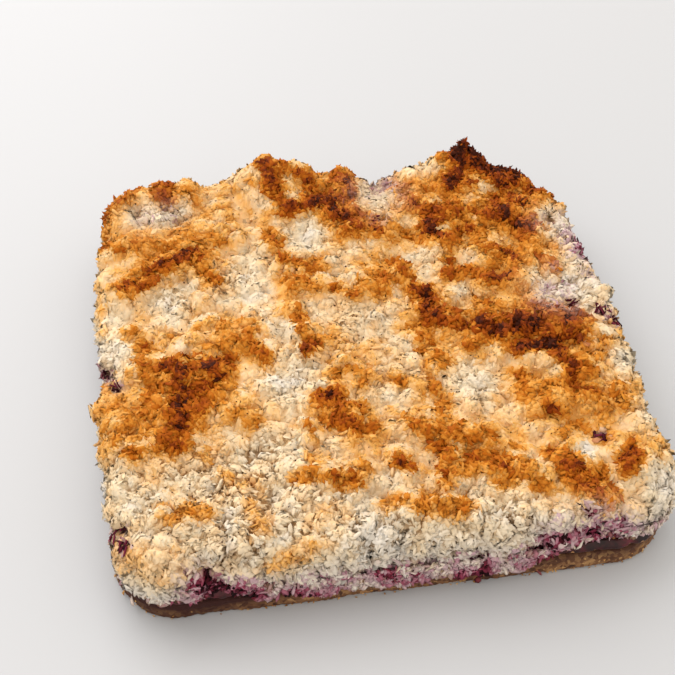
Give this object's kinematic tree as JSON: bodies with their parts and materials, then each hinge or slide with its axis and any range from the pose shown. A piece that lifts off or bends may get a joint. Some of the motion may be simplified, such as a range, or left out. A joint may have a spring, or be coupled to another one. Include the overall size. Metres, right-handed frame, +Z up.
{
  "type": "raspberry coconut slice",
  "caption": "Square tray-baked slice: a thin biscuit base, a layer of raspberry jam and a thick crumbly crust of toasted coconut with ridges and peaks.",
  "frame": {"origin": "on the surface that the slice stands on, under the middle of its box", "axes": "+Z up through the layers, -Y towards the side that the picture shows, +X to the right of it"},
  "size_m": [0.2122, 0.2062, 0.0455],
  "materials": {
    "biscuit": "baked biscuit, brown, fine grained and slightly oily",
    "jam": "set raspberry jam, dark purple red and glossy",
    "coconut": "desiccated coconut, cream in the hollows and toasted golden to dark brown on the ridges"
  },
  "bodies": {
    "root": {"biscuit_base": "biscuit", "raspberry_jam": "jam", "coconut_crust": "coconut"}
  },
  "joints": []
}
